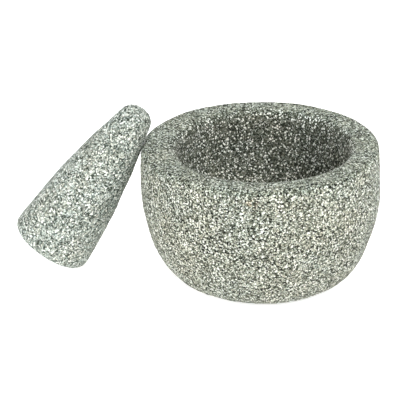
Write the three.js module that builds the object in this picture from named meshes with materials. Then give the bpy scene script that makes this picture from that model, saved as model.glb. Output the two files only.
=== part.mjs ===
// A granite mortar and its loose pestle, in millimetres, with +Z up.
// The bowl stands on z = 0 with its axis on the Z axis. The pestle stands beside it on the
// same surface, on the edge of its foot, and leans against the outside of the bowl's rim.

import * as THREE from 'three';

// Bowl: a round block of granite with a flat base, a full side and a wide rim. The rim has a
// small rounding outside, a flat top and a broad soft lip that falls into the hollow.
const BOWL_RADIUS = 90;
const BOWL_HEIGHT = 102;
const BELLY_HEIGHT = 65;
const BASE_RADIUS = 60;
const RIM_RADIUS = 89.2;
const RIM_WIDTH = 24.7;
const RIM_OUTER_EDGE = 5;
const LIP_WIDTH = 10;
const LIP_DROP = 8;
const HOLLOW_DEPTH = 72;

// How square the curved stretches are: 2 gives a plain ellipse, more a fuller curve, less a
// flatter one.
const SIDE_FULLNESS_ACROSS = 1.9;
const SIDE_FULLNESS_UP = 1.6;
const HOLLOW_FULLNESS = 2.6;

// Pestle: a taper with a slight swell, from a broad grinding foot to a blunt top. The two
// radii are the taper's own, at its very ends, where the rounding has already closed it.
const PESTLE_LENGTH = 133.1;
const PESTLE_FOOT_RADIUS = 31.6;
const PESTLE_TOP_RADIUS = 10.6;
const PESTLE_SWELL = 3.9;
const PESTLE_FOOT_HEIGHT = 13.6;
const PESTLE_TOP_HEIGHT = 9.9;
const PESTLE_FOOT_FULLNESS = 3.8;
const PESTLE_TOP_FULLNESS = 3;

// Where the pestle leans: the middle of its foot, its lean from upright, and its heading.
const PESTLE_FOOT_PLACE = new THREE.Vector2(-164.6, 3.4);
const PESTLE_LEAN = THREE.MathUtils.degToRad(34.3);
const PESTLE_HEADING = THREE.MathUtils.degToRad(9.5);

// Facets round the axis, and steps along each curved stretch of an outline.
const BOWL_SEGMENTS = 64;
const PESTLE_SEGMENTS = 48;
const LONG_CURVE_STEPS = 10;
const SHORT_CURVE_STEPS = 4;

const bowlGranite = new THREE.MeshStandardMaterial({
  color: 0x969a8e, roughness: 0.9, metalness: 0,
});
const pestleGranite = new THREE.MeshStandardMaterial({
  color: 0x9da394, roughness: 0.9, metalness: 0,
});

// A quarter of a superellipse. It leaves (0, 0) along the first axis and ends at
// (across, up) along the second, so it draws a floor turning into a wall.
function floorToWall(across, up, fullnessAcross, fullnessUp, steps) {
  const points = [];
  for (let i = 0; i <= steps; i++) {
    const angle = (i / steps) * Math.PI / 2;
    points.push(new THREE.Vector2(
      across * Math.sin(angle) ** (2 / fullnessAcross),
      up * (1 - Math.cos(angle) ** (2 / fullnessUp)),
    ));
  }
  return points;
}

function shifted(points, radius, height) {
  return points.map((point) => new THREE.Vector2(point.x + radius, point.y + height));
}

// The same curve upside down, as a ceiling that turns down into a wall.
function upsideDown(points) {
  return points.map((point) => new THREE.Vector2(point.x, -point.y));
}

// Turns an outline of (radius, height) points about the Z axis.
function turned(outline, segments) {
  return new THREE.LatheGeometry(outline, segments).rotateX(Math.PI / 2);
}

function bowlOutside() {
  const side = floorToWall(
    BOWL_RADIUS - BASE_RADIUS, BELLY_HEIGHT,
    SIDE_FULLNESS_ACROSS, SIDE_FULLNESS_UP, LONG_CURVE_STEPS,
  );
  const points = shifted(side, BASE_RADIUS, 0);
  const shoulder = BOWL_HEIGHT - RIM_OUTER_EDGE;
  for (let i = 1; i <= SHORT_CURVE_STEPS; i++) {
    const rise = i / SHORT_CURVE_STEPS;
    points.push(new THREE.Vector2(
      BOWL_RADIUS - (BOWL_RADIUS - RIM_RADIUS) * rise ** 2,
      BELLY_HEIGHT + (shoulder - BELLY_HEIGHT) * rise,
    ));
  }
  return points;
}

// A quarter of an ellipse over the rim, on the given side of its centre: +1 rises from the
// outside to the top, and -1 falls from the top into the hollow.
function rimCurve(side, centreRadius, width, drop) {
  const points = [];
  for (let i = 0; i <= SHORT_CURVE_STEPS; i++) {
    const angle = (i / SHORT_CURVE_STEPS) * Math.PI / 2;
    const outward = side > 0 ? Math.cos(angle) : -Math.sin(angle);
    const upward = side > 0 ? Math.sin(angle) : Math.cos(angle);
    points.push(new THREE.Vector2(
      centreRadius + width * outward,
      BOWL_HEIGHT - drop + drop * upward,
    ));
  }
  return points;
}

// The rim's outer edge and its lip; the flat top runs between them.
function bowlRim() {
  const edge = rimCurve(1, RIM_RADIUS - RIM_OUTER_EDGE, RIM_OUTER_EDGE, RIM_OUTER_EDGE);
  const lip = rimCurve(-1, RIM_RADIUS - RIM_WIDTH + LIP_WIDTH, LIP_WIDTH, LIP_DROP);
  return [...edge.slice(1), ...lip.slice(0, -1)];
}

function bowlHollow() {
  const floorHeight = BOWL_HEIGHT - HOLLOW_DEPTH;
  const wall = floorToWall(
    RIM_RADIUS - RIM_WIDTH, HOLLOW_DEPTH - LIP_DROP,
    HOLLOW_FULLNESS, HOLLOW_FULLNESS, LONG_CURVE_STEPS,
  );
  return shifted(wall, 0, floorHeight).reverse();
}

function mortarBowl() {
  const centreOfBase = new THREE.Vector2(0, 0);
  const outline = [centreOfBase, ...bowlOutside(), ...bowlRim(), ...bowlHollow()];
  const bowl = new THREE.Mesh(turned(outline, BOWL_SEGMENTS), bowlGranite);
  bowl.name = 'mortar_bowl';
  return bowl;
}

// The taper's radius at a height along the pestle's own axis.
function taperRadius(height) {
  const rise = height / PESTLE_LENGTH;
  const straight = THREE.MathUtils.lerp(PESTLE_FOOT_RADIUS, PESTLE_TOP_RADIUS, rise);
  return straight + PESTLE_SWELL * 4 * rise * (1 - rise);
}

// The pestle's outline along its own axis. Each point starts as a share of the taper's
// radius: the foot grows from 0 to 1, the middle stays at 1 and the top falls back to 0.
function pestleOutline() {
  const foot = floorToWall(
    1, PESTLE_FOOT_HEIGHT, PESTLE_FOOT_FULLNESS, PESTLE_FOOT_FULLNESS, LONG_CURVE_STEPS,
  );
  const top = floorToWall(
    1, PESTLE_TOP_HEIGHT, PESTLE_TOP_FULLNESS, PESTLE_TOP_FULLNESS, LONG_CURVE_STEPS,
  );
  const middle = [];
  for (let i = 1; i < LONG_CURVE_STEPS; i++) {
    const height = THREE.MathUtils.lerp(
      PESTLE_FOOT_HEIGHT, PESTLE_LENGTH - PESTLE_TOP_HEIGHT, i / LONG_CURVE_STEPS,
    );
    middle.push(new THREE.Vector2(1, height));
  }
  const shares = [...foot, ...middle, ...shifted(upsideDown(top), 0, PESTLE_LENGTH).reverse()];
  return shares.map(({ x: share, y: height }) => (
    new THREE.Vector2(share * taperRadius(height), height)
  ));
}

// Leans the pestle over, then sets it down so that its lowest point is on z = 0.
function pestle() {
  const stone = new THREE.Mesh(turned(pestleOutline(), PESTLE_SEGMENTS), pestleGranite);
  stone.name = 'pestle';
  stone.rotation.set(0, PESTLE_LEAN, PESTLE_HEADING, 'ZYX');
  stone.position.set(PESTLE_FOOT_PLACE.x, PESTLE_FOOT_PLACE.y, 0);
  stone.updateMatrixWorld();
  stone.position.z -= new THREE.Box3().setFromObject(stone, true).min.z;
  return stone;
}

const molcajete = new THREE.Group();
molcajete.add(mortarBowl(), pestle());

export default molcajete;
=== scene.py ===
# A granite mortar and its loose pestle, as fine stone meshes round the CAD frame, in metres.
import math

import bpy
import numpy as np
from mathutils import Euler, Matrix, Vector, noise


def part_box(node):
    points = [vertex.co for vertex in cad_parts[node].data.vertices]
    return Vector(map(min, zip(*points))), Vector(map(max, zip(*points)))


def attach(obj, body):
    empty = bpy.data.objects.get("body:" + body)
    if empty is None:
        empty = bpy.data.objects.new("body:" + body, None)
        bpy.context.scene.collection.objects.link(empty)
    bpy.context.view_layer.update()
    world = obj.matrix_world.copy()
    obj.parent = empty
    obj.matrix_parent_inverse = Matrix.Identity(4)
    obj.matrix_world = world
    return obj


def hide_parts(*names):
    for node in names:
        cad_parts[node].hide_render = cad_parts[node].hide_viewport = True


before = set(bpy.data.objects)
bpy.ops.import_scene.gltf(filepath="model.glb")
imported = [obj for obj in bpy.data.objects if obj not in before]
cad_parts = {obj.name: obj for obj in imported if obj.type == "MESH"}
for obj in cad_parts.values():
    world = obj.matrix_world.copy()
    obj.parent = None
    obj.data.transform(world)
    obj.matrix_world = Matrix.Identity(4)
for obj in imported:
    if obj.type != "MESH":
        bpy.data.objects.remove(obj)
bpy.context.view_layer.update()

bowl_low, bowl_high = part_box("mortar_bowl")
FLOOR_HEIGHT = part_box("pestle")[0].z
MM = 0.001

# Bowl: its radius and height come from its box, and its other sizes are the CAD model's.
BOWL_RADIUS = (bowl_high.x - bowl_low.x) / 2
BOWL_HEIGHT = bowl_high.z
BELLY_HEIGHT = 65 * MM
BASE_RADIUS = 60 * MM
RIM_RADIUS = 89.2 * MM
RIM_WIDTH = 24.7 * MM
RIM_OUTER_EDGE = 5 * MM
LIP_WIDTH = 10 * MM
LIP_DROP = 8 * MM
HOLLOW_DEPTH = 72 * MM
SIDE_FULLNESS_ACROSS = 1.9
SIDE_FULLNESS_UP = 1.6
HOLLOW_FULLNESS = 2.6

# Pestle: its own sizes, where the middle of its foot is, and how it leans.
PESTLE_LENGTH = 133.1 * MM
PESTLE_FOOT_RADIUS = 31.6 * MM
PESTLE_TOP_RADIUS = 10.6 * MM
PESTLE_SWELL = 3.9 * MM
PESTLE_FOOT_HEIGHT = 13.6 * MM
PESTLE_TOP_HEIGHT = 9.9 * MM
PESTLE_FOOT_FULLNESS = 3.8
PESTLE_TOP_FULLNESS = 3
PESTLE_FOOT_PLACE = Vector((-162.4 * MM, 3.4 * MM, 0))
PESTLE_LEAN = Euler((0, math.radians(34.3), math.radians(9.5)), "XYZ")

# How far the bowl is from true: its foot and its hollow are off centre towards +X, and its
# rim falls towards -X, above this share of its height.
FOOT_OFF_CENTRE = 1.8 * MM
HOLLOW_OFF_CENTRE = 2.6 * MM
RIM_FALL = 1.6 * MM
FALL_BEGINS = 0.6

# Where the pestle leans, round this angle from +X, the rim's outer edge is worn inwards, and
# down by this share of that.
REST_WEAR = 0.9 * MM
REST_WEAR_DOWN = 0.7
REST_ANGLE = math.radians(172.4)
REST_SPREAD = math.radians(8)

# Where the bowl's looks change: worn stone, darkened there partly as painted shade on the
# rim's top, fades in between these depths under the top of the rim, and the hollow's painted
# shade, a darker grain that is partly its finer pecked stone, begins over this width, round
# this share of the lip.
WORN_BEGINS = 6 * MM
WORN_WHOLE = 1 * MM
HOLLOW_SHADE_SHARE = 0.45
HOLLOW_SHADE_WIDTH = 0.4 * LIP_WIDTH

# Marks of carving: the depth and the size of the lumps, from the broadest to the finest. Wear
# takes away this share of all but the broadest. Each stone has its own seed.
CARVED_LUMPS = ((0.55 * MM, 26 * MM), (0.30 * MM, 9 * MM), (0.28 * MM, 4.2 * MM),
                (0.20 * MM, 2.3 * MM))
SHARE_WORN_AWAY = 0.7
BOWL_SEED = 1
PESTLE_SEED = 11

# Where each stone has its small brown stain: under the front of the rim, and on the foot. The
# stain fades out between the two distances from there.
BOWL_STAIN = (-8 * MM, -89 * MM, 93 * MM)
PESTLE_STAIN = (-184 * MM, 10 * MM, 30 * MM)
STAIN_SOLID = 1 * MM
STAIN_END = 6 * MM

# Mesh: the spacing of the rings along an outline, the most and fewest points on a ring, and
# the least space between those points, as a share of the rings' spacing.
RING_SPACING = 1.2 * MM
MOST_SEGMENTS = 448
FEWEST_SEGMENTS = 14
LEAST_SPACE = 0.6

# Steps along each kind of curve, before the outline is spaced evenly.
QUARTER_STEPS = 200
RIM_STEPS = 30
TAPER_STEPS = 20
PESTLE_STEPS = 60


def linear(red, green, blue):
    """A colour given in 0-255 display values, as linear light with alpha."""
    return tuple((value / 255) ** 2.2 for value in (red, green, blue)) + (1.0,)


def smoothstep(low, high, value):
    t = ((value - low) / (high - low)).clip(0, 1)
    return t * t * (3 - 2 * t)


# ---------------------------------------------------------------- outlines

def floor_to_wall(across, up, fullness_across, fullness_up):
    """A quarter of a superellipse, from (0, 0) along the floor to (across, up) on the wall."""
    angle = np.linspace(0, math.pi / 2, QUARTER_STEPS)
    radius = across * np.sin(angle) ** (2 / fullness_across)
    height = up * (1 - np.cos(angle).clip(0) ** (2 / fullness_up))
    return np.column_stack([radius, height])


def rim_curve(centre_radius, width, drop, start, end):
    """Part of an ellipse that touches the top of the rim, between two angles in degrees."""
    angle = np.radians(np.linspace(start, end, RIM_STEPS))
    return np.column_stack([
        centre_radius + width * np.cos(angle),
        BOWL_HEIGHT - drop + drop * np.sin(angle),
    ])


def bowl_outline():
    """(radius, height) from the middle of the base, up the side, over the rim, to the hollow."""
    shoulder = BOWL_HEIGHT - RIM_OUTER_EDGE
    side = floor_to_wall(BOWL_RADIUS - BASE_RADIUS, BELLY_HEIGHT,
                         SIDE_FULLNESS_ACROSS, SIDE_FULLNESS_UP) + (BASE_RADIUS, 0)
    rise = np.linspace(0, 1, TAPER_STEPS)[1:]
    taper = np.column_stack([
        BOWL_RADIUS - (BOWL_RADIUS - RIM_RADIUS) * rise ** 2,
        BELLY_HEIGHT + (shoulder - BELLY_HEIGHT) * rise,
    ])
    edge = rim_curve(RIM_RADIUS - RIM_OUTER_EDGE, RIM_OUTER_EDGE, RIM_OUTER_EDGE, 0, 90)
    lip = rim_curve(RIM_RADIUS - RIM_WIDTH + LIP_WIDTH, LIP_WIDTH, LIP_DROP, 90, 180)
    hollow = floor_to_wall(RIM_RADIUS - RIM_WIDTH, HOLLOW_DEPTH - LIP_DROP,
                           HOLLOW_FULLNESS, HOLLOW_FULLNESS) + (0, BOWL_HEIGHT - HOLLOW_DEPTH)
    return np.vstack([[(0, 0)], side, taper, edge, lip, hollow[::-1]])


def pestle_outline():
    """(radius, height) along the pestle's own axis, from its foot to its top."""
    foot = floor_to_wall(1, PESTLE_FOOT_HEIGHT, PESTLE_FOOT_FULLNESS, PESTLE_FOOT_FULLNESS)
    top = floor_to_wall(1, PESTLE_TOP_HEIGHT, PESTLE_TOP_FULLNESS, PESTLE_TOP_FULLNESS)
    top = (top * (1, -1) + (0, PESTLE_LENGTH))[::-1]
    middle = np.linspace(foot[-1], top[0], PESTLE_STEPS)
    share, height = np.vstack([foot, middle[1:-1], top]).T
    rise = height / PESTLE_LENGTH
    taper = (PESTLE_FOOT_RADIUS + (PESTLE_TOP_RADIUS - PESTLE_FOOT_RADIUS) * rise
             + PESTLE_SWELL * 4 * rise * (1 - rise))
    return np.column_stack([share * taper, height])


def evenly_spaced(outline):
    """The same outline with points RING_SPACING apart along it."""
    along = np.concatenate([[0], np.cumsum(np.hypot(*np.diff(outline, axis=0).T))])
    steps = np.linspace(0, along[-1], round(along[-1] / RING_SPACING) + 1)
    return np.column_stack([np.interp(steps, along, outline[:, k]) for k in (0, 1)])


# ---------------------------------------------------------------- meshes

def segments_at(radius):
    """How many points a ring takes: halved until they are far enough apart, or are fewest."""
    least_space = LEAST_SPACE * RING_SPACING
    count = MOST_SEGMENTS
    while count > FEWEST_SEGMENTS and 2 * math.pi * radius / count < least_space:
        count //= 2
    return count


def faces_between(lower, upper):
    """Faces from one ring of vertex numbers to the next, which may have half or twice as many."""
    if len(lower) == len(upper):
        return [(a, b, c, d) for a, b, c, d in
                zip(lower, np.roll(lower, -1), np.roll(upper, -1), upper)]
    if len(lower) < len(upper):
        return [face[::-1] for face in faces_between(upper, lower)]
    faces = []
    for i, near in enumerate(upper):
        start, middle, end = (lower[(2 * i + k) % len(lower)] for k in range(3))
        far = upper[(i + 1) % len(upper)]
        faces += [(start, middle, near), (middle, far, near), (middle, end, far)]
    return faces


def turned_mesh(name, outline):
    """A closed mesh made by turning an outline that starts and ends on the axis."""
    points = [(0, 0, outline[0, 1])]
    faces = []
    previous = None
    for radius, height in outline[1:-1]:
        count = segments_at(radius)
        ring = np.arange(len(points), len(points) + count)
        angle = np.linspace(0, 2 * math.pi, count, endpoint=False)
        points += list(zip(radius * np.cos(angle), radius * np.sin(angle), [height] * count))
        if previous is None:
            faces += [(0, b, a) for a, b in zip(ring, np.roll(ring, -1))]
        else:
            faces += faces_between(previous, ring)
        previous = ring
    faces += [(a, b, len(points)) for a, b in zip(previous, np.roll(previous, -1))]
    points.append((0, 0, outline[-1, 1]))
    mesh = bpy.data.meshes.new(name)
    mesh.from_pydata(points, [], [tuple(int(i) for i in face) for face in faces])
    mesh.shade_smooth()
    return mesh


def positions(mesh):
    flat = np.empty(len(mesh.vertices) * 3)
    mesh.vertices.foreach_get("co", flat)
    return flat.reshape(-1, 3)


def normals(mesh):
    flat = np.empty(len(mesh.vertices) * 3)
    mesh.vertex_normals.foreach_get("vector", flat)
    return flat.reshape(-1, 3)


def set_positions(mesh, points):
    mesh.vertices.foreach_set("co", points.ravel())
    mesh.update()


def set_attribute(mesh, name, values):
    attribute = mesh.attributes.new(name, "FLOAT", "POINT")
    attribute.data.foreach_set("value", values.astype(np.float32))


def smooth_noise(points, size, seed):
    """Noise between about -1 and 1, with lumps of the given size in metres."""
    offset = Vector((seed * 3.7, seed * 1.9, seed * 5.3))
    return np.array([noise.noise(Vector(p) / size + offset) for p in points])


def carve(mesh, seed, worn):
    """Moves the surface in and out as hand tools leave it, less where it is worn smooth.
    Nothing goes below the mesh's own lowest point, so a flat base stays flat."""
    points = positions(mesh)
    lowest = points[:, 2].min()
    (broad_depth, broad_size), *finer_lumps = CARVED_LUMPS
    depth = broad_depth * smooth_noise(points, broad_size, seed)
    for step, (lump_depth, lump_size) in enumerate(finer_lumps, start=1):
        lumps = lump_depth * smooth_noise(points, lump_size, seed + step)
        depth += lumps * (1 - SHARE_WORN_AWAY * worn)
    points += normals(mesh) * depth[:, None]
    points[:, 2] = points[:, 2].clip(lowest)
    set_positions(mesh, points)


# ---------------------------------------------------------------- pieces

def above_hollow_floor(height):
    """True for every point of the hollow and the rim, and false for those of the base."""
    return height > BOWL_HEIGHT - HOLLOW_DEPTH - 1 * MM


def hand_carved(points):
    """Takes the bowl's points away from true, as the sizes at the top of the file say."""
    x, y, z = points.T
    radius = np.hypot(x, y)
    rise = z / BOWL_HEIGHT
    inward = 1 - smoothstep(RIM_RADIUS - RIM_WIDTH, RIM_RADIUS - 0.4 * RIM_WIDTH, radius)
    hollow_shift = HOLLOW_OFF_CENTRE * inward * above_hollow_floor(z)
    foot_shift = FOOT_OFF_CENTRE * (1 - rise)
    fall = RIM_FALL * x / RIM_RADIUS * smoothstep(FALL_BEGINS, 1.0, rise)
    from_rest = (np.arctan2(y, x) - REST_ANGLE + math.pi) % (2 * math.pi) - math.pi
    outer_edge = smoothstep(0.6, 0.95, rise) * smoothstep(0.8, 0.95, radius / RIM_RADIUS)
    wear = REST_WEAR * outer_edge * np.exp(-(from_rest / REST_SPREAD) ** 2)
    return np.column_stack([
        x + foot_shift + hollow_shift - wear * math.cos(REST_ANGLE),
        y - wear * math.sin(REST_ANGLE),
        z + fall - REST_WEAR_DOWN * wear,
    ])


def make_bowl(material):
    mesh = turned_mesh("mortar_bowl_stone", evenly_spaced(bowl_outline()))
    points = positions(mesh)
    radius = np.hypot(points[:, 0], points[:, 1])
    height = points[:, 2]
    # The hollow mask darkens the grains inside the bowl: painted shade in the recess, and partly
    # the finer pecked stone.
    shade_radius = RIM_RADIUS - RIM_WIDTH + HOLLOW_SHADE_SHARE * LIP_WIDTH
    inward = smoothstep(-HOLLOW_SHADE_WIDTH / 2, HOLLOW_SHADE_WIDTH / 2, shade_radius - radius)
    hollow = above_hollow_floor(height) * inward
    worn = smoothstep(BOWL_HEIGHT - WORN_BEGINS, BOWL_HEIGHT - WORN_WHOLE, height)
    set_positions(mesh, hand_carved(points))
    carve(mesh, BOWL_SEED, worn)
    set_attribute(mesh, "worn", worn)
    set_attribute(mesh, "hollow", hollow)
    finish_piece(mesh, material, "bowl", "mortar_bowl")


def make_pestle(material):
    mesh = turned_mesh("pestle_stone", evenly_spaced(pestle_outline()))
    points = positions(mesh)
    ground_away = smoothstep(0.6, 1.0, 1 - points[:, 2] / PESTLE_FOOT_HEIGHT)
    carve(mesh, PESTLE_SEED, ground_away)
    set_attribute(mesh, "worn", ground_away * 0.5)
    set_attribute(mesh, "hollow", np.zeros(len(points)))
    lean = np.array(PESTLE_LEAN.to_matrix())
    points = positions(mesh) @ lean.T + np.array(PESTLE_FOOT_PLACE)
    points[:, 2] += FLOOR_HEIGHT - points[:, 2].min()
    set_positions(mesh, points)
    finish_piece(mesh, material, "pestle", "pestle")


def finish_piece(mesh, material, body, node):
    """Shows the mesh in place of its CAD node, and lets it ride on that node's body."""
    mesh.materials.append(material)
    piece = bpy.data.objects.new(mesh.name, mesh)
    bpy.context.scene.collection.objects.link(piece)
    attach(piece, body)
    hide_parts(node)


# ---------------------------------------------------------------- granite

# The grey that the hollow's grains are drawn towards, painted shade in the recess and partly
# the finer pecked stone; what the stain multiplies a colour by; what wear multiplies a colour
# by, a greyer tone that is also painted shade on the rim's top; and how far a seam reaches
# into a grain, as a share of the grains' size.
HOLLOW_SHADE_GRAIN = linear(52, 57, 47)
STAIN_TINT = linear(214, 190, 160)
WORN_AND_SHADE_TINT = (0.80, 0.84, 0.83, 1.0)
SEAM_WIDTH = 0.20


class Shader:
    """A material's node tree, with short calls for the nodes that granite is made of."""

    def __init__(self, name):
        self.material = bpy.data.materials.new(name)
        self.material.use_nodes = True
        self.tree = self.material.node_tree
        self.tree.nodes.clear()

    def add(self, kind, inputs=None, **settings):
        node = self.tree.nodes.new(kind)
        for name, value in settings.items():
            setattr(node, name, value)
        for name, value in (inputs or {}).items():
            socket = node.inputs[name]
            if isinstance(value, bpy.types.NodeSocket):
                self.tree.links.new(value, socket)
            else:
                socket.default_value = value
        return node

    def finish(self, surface):
        output = self.add("ShaderNodeOutputMaterial")
        self.tree.links.new(surface, output.inputs["Surface"])

    def vector(self, operation, first, second):
        node = self.add("ShaderNodeVectorMath", {0: first, 1: second}, operation=operation)
        return node.outputs[0]

    def grey(self, value):
        channels = dict.fromkeys(("Red", "Green", "Blue"), value)
        return self.add("ShaderNodeCombineColor", channels).outputs[0]

    def calc(self, operation, first, second):
        node = self.add("ShaderNodeMath", {0: first, 1: second}, operation=operation)
        return node.outputs[0]

    def ramp(self, value, low, high, to_low=0.0, to_high=1.0):
        node = self.add("ShaderNodeMapRange", {
            "Value": value, "From Min": low, "From Max": high, "To Min": to_low, "To Max": to_high,
        })
        return node.outputs["Result"]

    def times(self, colour, factor):
        """A colour times a factor for each of its channels."""
        return self.mix(1.0, colour, factor, "MULTIPLY")

    def mix(self, factor, first, second, blend_type="MIX"):
        """From the first colour to the second. The node's colours are inputs 6 and 7."""
        node = self.add("ShaderNodeMix", data_type="RGBA", blend_type=blend_type)
        for index, value in ((0, factor), (6, first), (7, second)):
            if isinstance(value, bpy.types.NodeSocket):
                self.tree.links.new(value, node.inputs[index])
            else:
                node.inputs[index].default_value = value
        return node.outputs[2]

    def noise(self, coords, size, detail=2.0, roughness=0.5, output="Fac"):
        node = self.add("ShaderNodeTexNoise", {
            "Vector": coords, "Scale": 1 / size, "Detail": detail, "Roughness": roughness,
        })
        return node.outputs[output]

    def cells(self, coords, size, feature="F1"):
        inputs = {"Vector": coords, "Scale": 1 / size}
        return self.add("ShaderNodeTexVoronoi", inputs, feature=feature)

    def lots(self, cells):
        """Red, Green and Blue: three numbers from 0 to 1 that each cell draws for itself."""
        return self.add("ShaderNodeSeparateColor", {"Color": cells.outputs["Color"]}).outputs

    def attribute(self, name):
        return self.add("ShaderNodeAttribute", attribute_name=name).outputs["Fac"]

    def stops(self, value, *stops):
        """The colour at a value, along a ramp of (position, colour) stops."""
        node = self.add("ShaderNodeValToRGB", {"Fac": value})
        while len(node.color_ramp.elements) < len(stops):
            node.color_ramp.elements.new(0.5)
        for element, (position, colour) in zip(node.color_ramp.elements, stops):
            element.position = position
            element.color = colour
        return node.outputs["Color"]


def grain_colour(shader, bent, fine, size, dark, mid, pale, hollow):
    """Close grains of three minerals, with dark seams where they meet. Also gives what the
    relief needs: the kind of grain at each point, and how far the point is from a seam."""
    lots = shader.lots(shader.cells(bent, size))
    # A grain is dark, mid or pale where the ramp is level, and in between where it slopes.
    kind = lots["Red"]
    colour = shader.stops(kind, (0.0, dark), (0.18, dark), (0.28, mid), (0.52, mid),
                          (0.72, pale), (1.0, pale))
    cool, warm = linear(241, 250, 247), linear(255, 250, 238)
    colour = shader.times(colour, shader.stops(lots["Green"], (0.0, cool), (1.0, warm)))
    # The hollow's grains are dark and much alike, so its white crystals stand out: painted shade
    # in the recess, and partly the finer pecked stone.
    colour = shader.mix(hollow, colour, shader.mix(0.5, colour, HOLLOW_SHADE_GRAIN))
    seam = shader.cells(bent, size, feature="DISTANCE_TO_EDGE").outputs["Distance"]
    colour = shader.times(colour, shader.grey(shader.ramp(seam, 0.0, SEAM_WIDTH, 0.34, 1.05)))
    colour = shader.times(colour, shader.grey(shader.ramp(fine, 0.3, 0.7, 0.38, 1.60)))
    return colour, kind, seam


def crystal_spots(shader, bent, size, hollow):
    """Where the white crystals are: rounded spots of many sizes, whitest in the hollow."""
    cells = shader.cells(bent, size)
    lots = shader.lots(cells)
    reach = shader.ramp(lots["Green"], 0.0, 1.0, 0.0, 0.52)
    spot = shader.ramp(shader.calc("SUBTRACT", reach, cells.outputs["Distance"]), -0.02, 0.04)
    whiteness = shader.ramp(lots["Blue"], 0.0, 1.0, 0.45, 1.0)
    whiteness = shader.calc("ADD", whiteness, shader.calc("MULTIPLY", hollow, 0.6))
    return shader.calc("MULTIPLY", spot, shader.calc("MINIMUM", whiteness, 1.0))


def stained(shader, colour, on_piece, place, stain_place):
    """The colour with a brown stain, which soaks the grains near its place unevenly."""
    distance = shader.add("ShaderNodeVectorMath", {0: on_piece, 1: stain_place},
                          operation="DISTANCE").outputs["Value"]
    soak = shader.ramp(distance, STAIN_SOLID, STAIN_END, 0.9, 0.0)
    patches = shader.noise(place, 3 * MM, detail=1)
    soak = shader.calc("MULTIPLY", soak, shader.ramp(patches, 0.4, 0.6))
    return shader.mix(soak, colour, shader.times(colour, STAIN_TINT))


def toned(shader, colour, place, worn):
    """The colour with a slow drift of tint, and a darker, greyer tone where the stone is worn,
    which on the bowl's rim is also a painted shade on its top.
    """
    drift = shader.noise(place, 34 * MM, detail=3)
    cool, warm = linear(250, 252, 253), linear(254, 252, 249)
    colour = shader.times(colour, shader.stops(drift, (0.38, cool), (0.62, warm)))
    return shader.mix(worn, colour, shader.times(colour, WORN_AND_SHADE_TINT))


def relief(shader, spot, kind, fine, seam, worn):
    """Bumps finer than the mesh: crystals and pale grains stand out, and seams are sunk."""
    height = shader.calc("MULTIPLY", spot, 0.5)
    height = shader.calc("ADD", height, shader.calc("MULTIPLY", kind, 0.4))
    height = shader.calc("ADD", height, shader.calc("MULTIPLY", fine, 0.8))
    height = shader.calc("ADD", height, shader.ramp(seam, 0.0, SEAM_WIDTH, 0.0, 0.6))
    strength = shader.ramp(worn, 0.0, 1.0, 0.8, 0.45)
    bump = shader.add("ShaderNodeBump", {
        "Height": height, "Strength": strength, "Distance": 0.35 * MM,
    })
    return bump.outputs["Normal"]


def granite(name, grain_size, crystal_size, dark, mid, pale, white, stain_place, offset):
    """Speckled granite: dark, mid and pale grains, white crystals and one small brown stain.
    The offset moves the pattern, in metres, so that no two stones are alike."""
    shader = Shader(name)
    on_piece = shader.add("ShaderNodeTexCoord").outputs["Object"]
    place = shader.vector("ADD", on_piece, (offset,) * 3)
    swirl = shader.noise(place, 1.3 * MM, output="Color")
    swirl = shader.vector("SUBTRACT", swirl, (0.5,) * 3)
    bent = shader.vector("ADD", place, shader.vector("MULTIPLY", swirl, (1.5 * MM,) * 3))
    fine = shader.noise(place, 0.7 * MM, detail=3, roughness=0.7)
    worn = shader.attribute("worn")
    hollow = shader.attribute("hollow")

    colour, kind, seam = grain_colour(shader, bent, fine, grain_size, dark, mid, pale, hollow)
    spot = crystal_spots(shader, bent, crystal_size, hollow)
    colour = shader.mix(spot, colour, white)
    colour = stained(shader, colour, on_piece, place, stain_place)
    colour = toned(shader, colour, place, worn)
    surface = shader.add("ShaderNodeBsdfPrincipled", {
        "Base Color": colour,
        "Roughness": shader.ramp(spot, 0.0, 1.0, 0.9, 0.65),
        "Normal": relief(shader, spot, kind, fine, seam, worn),
        "Specular IOR Level": 0.3,
    })
    shader.finish(surface.outputs["BSDF"])
    return shader.material


def bowl_granite():
    return granite("granite_bowl", 0.98 * MM, 1.55 * MM, dark=linear(26, 29, 22),
                   mid=linear(94, 98, 87), pale=linear(186, 189, 178),
                   white=linear(242, 244, 235), stain_place=BOWL_STAIN, offset=0.0)


def pestle_granite():
    return granite("granite_pestle", 1.1 * MM, 1.75 * MM, dark=linear(64, 72, 66),
                   mid=linear(132, 140, 135), pale=linear(194, 200, 195),
                   white=linear(236, 240, 234), stain_place=PESTLE_STAIN, offset=0.7)


# ---------------------------------------------------------------- studio

# The camera looks at this point from the front, from this far away and this far above level.
CAMERA_AIM = Vector((-44.7 * MM, 0, 55.65 * MM))
CAMERA_DISTANCE = 1.4
CAMERA_ELEVATION = math.radians(24.5)
CAMERA_LENS = 166.5

# Soft round lights: the place and width of each, in metres, and its power in watts.
LIGHTS = {
    "high_right": ((0.9, -0.7, 1.4), 1.0, 33),
    "low_left": ((-1.5, -0.7, 0.25), 1.2, 27),
    "low_front": ((0.1, -1.7, 0.2), 1.2, 11),
    "back": ((0.0, 1.5, 0.8), 1.2, 20),
}
LIGHT_AIM = Vector((0, 0, 0.05))
WORLD_STRENGTH = 0.45

# The floor's half width, its grey and its own glow, which keeps it as pale as paper.
FLOOR_REACH = 3.0
FLOOR_GREY = 0.92
FLOOR_GLOW = 0.6


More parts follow.
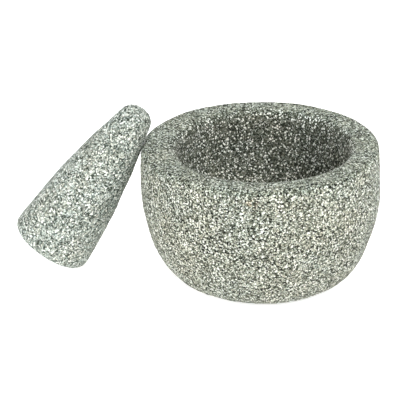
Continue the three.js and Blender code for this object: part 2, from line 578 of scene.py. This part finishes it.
def make_camera():
    camera = bpy.data.cameras.new("camera")
    camera.lens = CAMERA_LENS
    holder = bpy.data.objects.new("camera", camera)
    back = Vector((0, -math.cos(CAMERA_ELEVATION), math.sin(CAMERA_ELEVATION)))
    holder.location = CAMERA_AIM + back * CAMERA_DISTANCE
    holder.rotation_euler = (math.pi / 2 - CAMERA_ELEVATION, 0, 0)
    bpy.context.scene.collection.objects.link(holder)
    bpy.context.scene.camera = holder


def make_light(name, place, size, power):
    light = bpy.data.lights.new(name, "AREA")
    light.shape = "DISK"
    light.size = size
    light.energy = power
    holder = bpy.data.objects.new(name, light)
    holder.location = place
    holder.rotation_euler = (LIGHT_AIM - Vector(place)).to_track_quat("-Z", "Y").to_euler()
    bpy.context.scene.collection.objects.link(holder)


def make_world():
    world = bpy.data.worlds.new("studio")
    world.use_nodes = True
    background = world.node_tree.nodes["Background"]
    background.inputs["Color"].default_value = (1, 1, 1, 1)
    background.inputs["Strength"].default_value = WORLD_STRENGTH
    bpy.context.scene.world = world
    bpy.context.scene.view_settings.view_transform = "Standard"


def floor_paper():
    shader = Shader("floor_paper")
    surface = shader.add("ShaderNodeBsdfPrincipled", {
        "Base Color": (FLOOR_GREY, FLOOR_GREY, FLOOR_GREY, 1),
        "Roughness": 1.0,
        "Specular IOR Level": 0.0,
        "Emission Color": (1, 1, 1, 1),
        "Emission Strength": FLOOR_GLOW,
    })
    shader.finish(surface.outputs["BSDF"])
    return shader.material


def make_floor():
    mesh = bpy.data.meshes.new("floor")
    signs = ((-1, -1), (1, -1), (1, 1), (-1, 1))
    corners = [(x * FLOOR_REACH, y * FLOOR_REACH, 0) for x, y in signs]
    mesh.from_pydata(corners, [], [(0, 1, 2, 3)])
    mesh.materials.append(floor_paper())
    floor = bpy.data.objects.new("floor", mesh)
    bpy.context.scene.collection.objects.link(floor)


make_camera()
make_world()
make_floor()
for light_name, (light_place, light_size, light_power) in LIGHTS.items():
    make_light(light_name, light_place, light_size, light_power)
make_bowl(bowl_granite())
make_pestle(pestle_granite())
